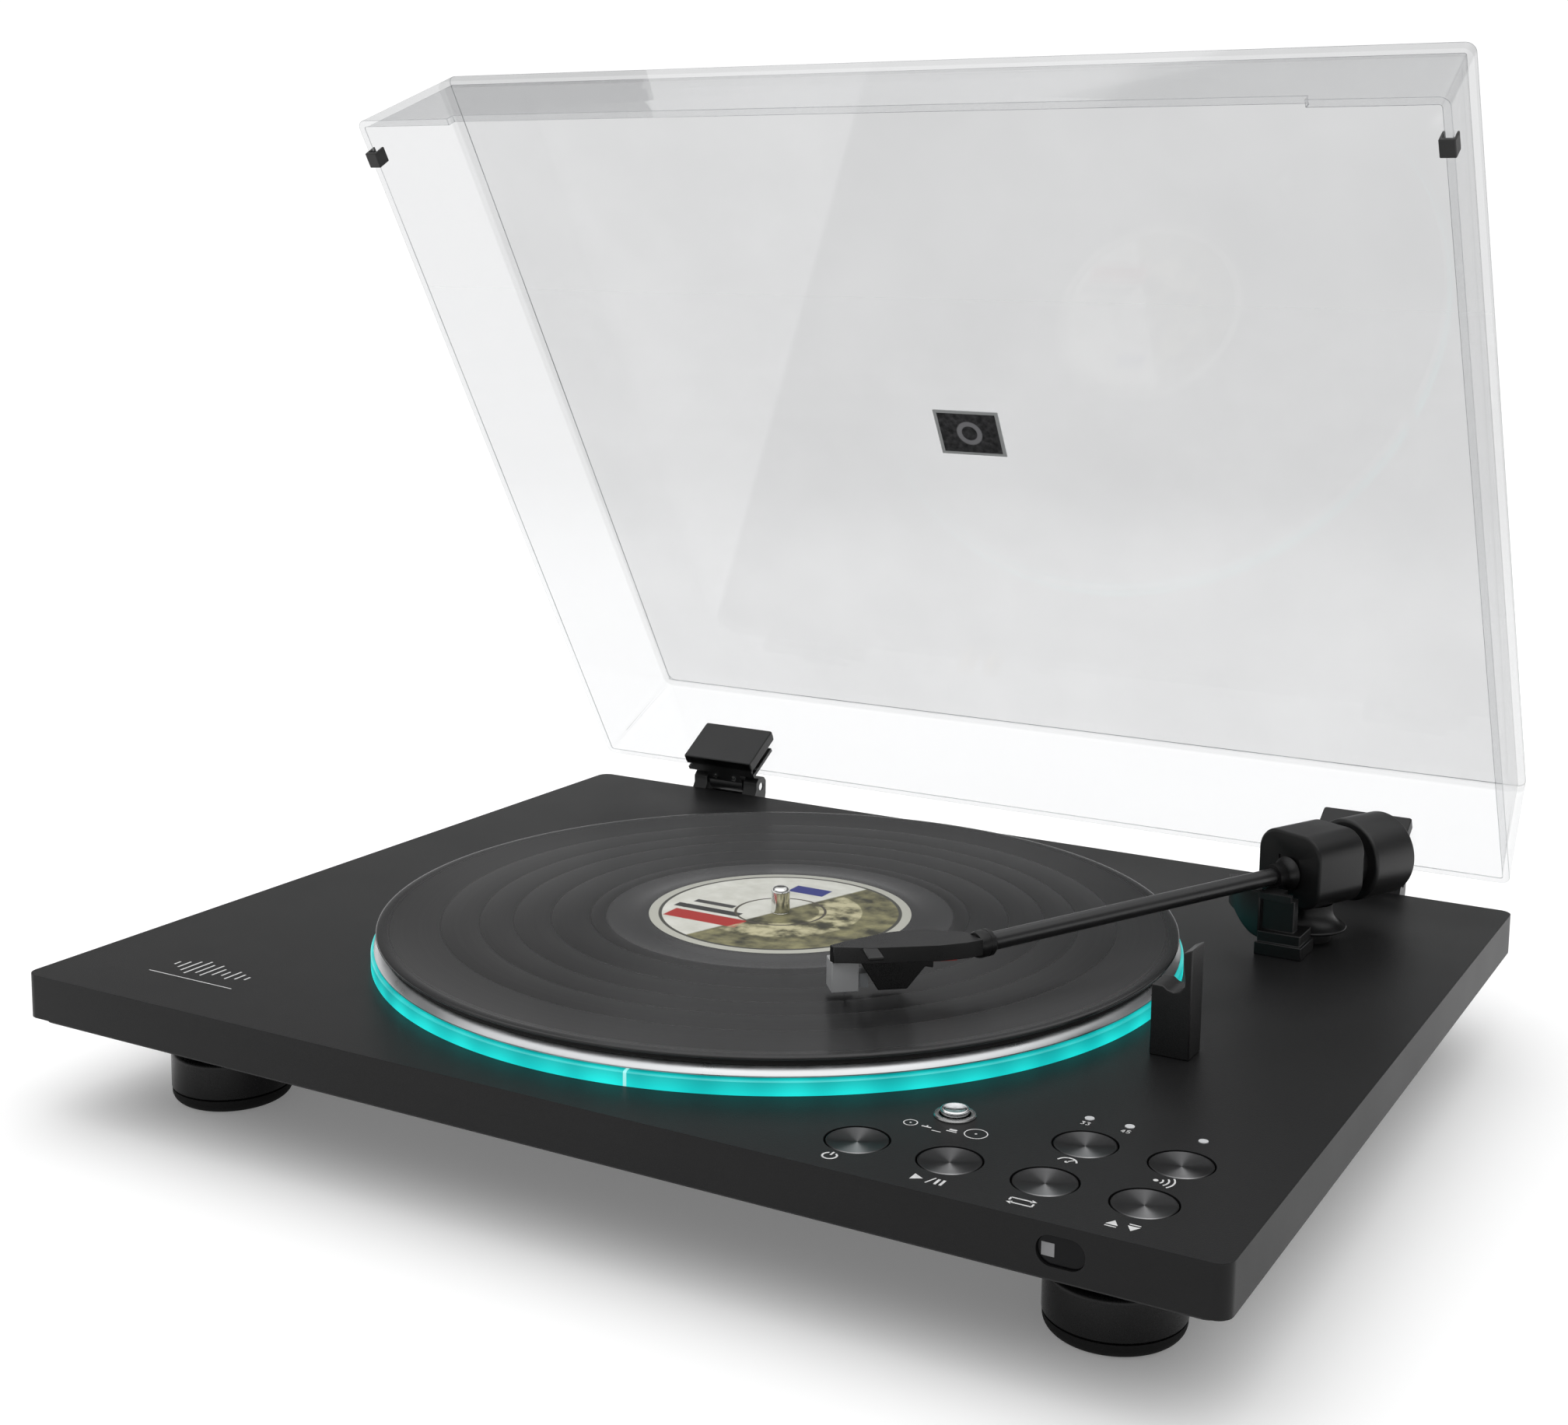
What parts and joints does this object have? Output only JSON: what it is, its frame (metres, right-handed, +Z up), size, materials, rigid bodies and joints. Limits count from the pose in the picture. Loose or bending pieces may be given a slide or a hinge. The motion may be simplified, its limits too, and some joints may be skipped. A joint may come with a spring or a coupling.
{
  "type": "turntable record player",
  "caption": "Belt-driven record player with a lit platter, a straight tonearm, push buttons and an open clear cover on rear hinges.",
  "frame": {"origin": "on the floor, in the middle of the whole outline seen from above with the cover open", "axes": "+X to the right seen from the front, along the plinth's long side; +Y to the back, towards the hinges; +Z up"},
  "size_m": [0.45, 0.4098, 0.3864],
  "materials": {
    "plinth_board": "pressed board in matte black, fine-grained film",
    "tray_plastic": "black moulded, lightly textured",
    "foot_plastic": "black moulded",
    "foot_rubber": "black rubber",
    "plated_steel": "zinc-plated sheet",
    "bearing_brass": "turned brass",
    "polished_steel": "ground steel",
    "motor_steel": "drawn steel can",
    "pulley_brass": "turned brass",
    "drive_plastic": "black moulded",
    "belt_rubber": "flat ground belt",
    "spindle_chrome": "polished",
    "platter_aluminium": "turned bevel, satin",
    "mat_rubber": "thin black mat",
    "record_vinyl": "grooved black vinyl",
    "label_paper": "printed paper, plain rings",
    "ring_glow": "cyan light guide",
    "strip_flex": "white flexible strip",
    "arm_black": "satin black moulded",
    "tube_black": "black anodised tube",
    "head_plastic": "satin black moulded",
    "guard_grey": "light grey moulded",
    "stylus_plastic": "grey moulded",
    "lead_cover": "coloured insulation",
    "weight_metal": "black painted, satin",
    "rest_plastic": "black moulded",
    "button_satin": "dished, spun sheen",
    "circuit_board": "green board",
    "switch_plastic": "black switch bodies",
    "size_chrome": "bright cap",
    "collar_plastic": "black ring",
    "lamp_lens": "pale diffused lens",
    "window_plastic": "dark smoked window",
    "sensor_resin": "dark resin",
    "socket_gold": "gold-coloured plating",
    "socket_plastic": "black moulded",
    "clear_acrylic": "clear, slightly grey",
    "bumper_rubber": "black rubber",
    "badge_print": "dark plain print",
    "hinge_plastic": "black moulded",
    "screw_steel": "bright screw heads"
  },
  "bodies": {
    "base": {"plinth": "plinth_board", "bottom_tray": "tray_plastic", "feet": "foot_plastic", "foot_pads": "foot_rubber", "chassis_plate": "plated_steel", "bearing_housing": "bearing_brass", "thrust_ball": "polished_steel", "motor": "motor_steel", "chassis_screws": "plated_steel", "drive_belt": "belt_rubber", "light_ring": "ring_glow", "lamp_strip": "strip_flex", "arm_base": "arm_black", "lifter_block": "arm_black", "arm_rest": "rest_plastic", "control_board": "circuit_board", "tact_switches": "switch_plastic", "size_collar": "collar_plastic", "indicator_lamps": "lamp_lens", "window_lens": "window_plastic", "remote_sensor": "sensor_resin", "main_board": "circuit_board", "phono_sockets": "socket_gold", "power_inlet": "socket_plastic", "hinge_brackets": "hinge_plastic", "hinge_pins": "polished_steel"},
    "platter_group": {"drive_wheel": "drive_plastic", "spindle": "spindle_chrome", "platter": "platter_aluminium", "platter_mat": "mat_rubber", "record": "record_vinyl", "record_label": "label_paper"},
    "pulley_group": {"motor_pulley": "pulley_brass"},
    "arm_carriage": {"arm_housing": "arm_black", "arm_post": "polished_steel"},
    "tonearm": {"tonearm_tube": "tube_black", "gimbal_block": "arm_black", "tilt_pins": "polished_steel", "counterweight_stub": "arm_black", "head_collar": "arm_black", "headshell": "head_plastic", "finger_lift": "head_plastic", "cartridge": "head_plastic", "stylus_guard": "guard_grey", "stylus": "stylus_plastic", "cartridge_leads": "lead_cover"},
    "balance_weight": {"counterweight": "weight_metal"},
    "lifter": {"cue_lifter": "arm_black"},
    "cover": {"dust_cover": "clear_acrylic", "cover_bumpers": "bumper_rubber", "cover_badge": "badge_print", "hinge_clips": "hinge_plastic", "clip_screws": "screw_steel"},
    "key_power": {"button_power": "button_satin"},
    "key_start": {"button_start": "button_satin"},
    "key_repeat": {"button_repeat": "button_satin"},
    "key_cue": {"button_cue": "button_satin"},
    "key_speed": {"button_speed": "button_satin"},
    "key_pairing": {"button_pairing": "button_satin"},
    "key_size": {"size_button": "size_chrome"}
  },
  "joints": [
    {"name": "platter_spin", "type": "hinge", "parent": "base", "child": "platter_group", "pos_m": [-0.011, -0.03394, 0.052], "axis": [0, 0, 1], "continuous": true},
    {"name": "pulley_spin", "type": "hinge", "parent": "base", "child": "pulley_group", "pos_m": [-0.097, -0.00894, 0.052], "axis": [0, 0, 1], "continuous": true},
    {"name": "arm_swing", "type": "hinge", "parent": "base", "child": "arm_carriage", "pos_m": [0.162, 0.07816, 0.08], "axis": [0, 0, 1], "range_deg": [-11, 24]},
    {"name": "arm_tilt", "type": "hinge", "parent": "arm_carriage", "child": "tonearm", "pos_m": [0.162, 0.07816, 0.08], "axis": [-0.9078, 0.4195, 0], "range_deg": [0, 3]},
    {"name": "weight_turn", "type": "hinge", "parent": "tonearm", "child": "balance_weight", "pos_m": [0.162, 0.07816, 0.08], "axis": [-0.4195, -0.9078, 0], "range_deg": [-360, 360]},
    {"name": "lifter_rise", "type": "slide", "parent": "base", "child": "lifter", "axis": [0, 0, 1], "range_m": [0, 0.00155]},
    {"name": "cover_hinge", "type": "hinge", "parent": "base", "child": "cover", "pos_m": [0, 0.16256, 0.055], "axis": [1, 0, 0], "range_deg": [0, 59]},
    {"name": "press_power", "type": "slide", "parent": "base", "child": "key_power", "axis": [0, 0, -1], "range_m": [0, 0.0009], "stiffness_N_per_m": 1200, "springref_m": -0.0003},
    {"name": "press_start", "type": "slide", "parent": "base", "child": "key_start", "axis": [0, 0, -1], "range_m": [0, 0.0009], "stiffness_N_per_m": 1200, "springref_m": -0.0003},
    {"name": "press_repeat", "type": "slide", "parent": "base", "child": "key_repeat", "axis": [0, 0, -1], "range_m": [0, 0.0009], "stiffness_N_per_m": 1200, "springref_m": -0.0003},
    {"name": "press_cue", "type": "slide", "parent": "base", "child": "key_cue", "axis": [0, 0, -1], "range_m": [0, 0.0009], "stiffness_N_per_m": 1200, "springref_m": -0.0003},
    {"name": "press_speed", "type": "slide", "parent": "base", "child": "key_speed", "axis": [0, 0, -1], "range_m": [0, 0.0009], "stiffness_N_per_m": 1200, "springref_m": -0.0003},
    {"name": "press_pairing", "type": "slide", "parent": "base", "child": "key_pairing", "axis": [0, 0, -1], "range_m": [0, 0.0009], "stiffness_N_per_m": 1200, "springref_m": -0.0003},
    {"name": "press_size", "type": "slide", "parent": "base", "child": "key_size", "axis": [0, 0, -1], "range_m": [0, 0.002], "stiffness_N_per_m": 700, "springref_m": -0.0004}
  ],
  "couplings": [
    {"joint": "pulley_spin", "follows": "platter_spin", "ratio": 8},
    {"joint": "lifter_rise", "follows": "arm_tilt", "m_per_rad": 0.0295}
  ]
}
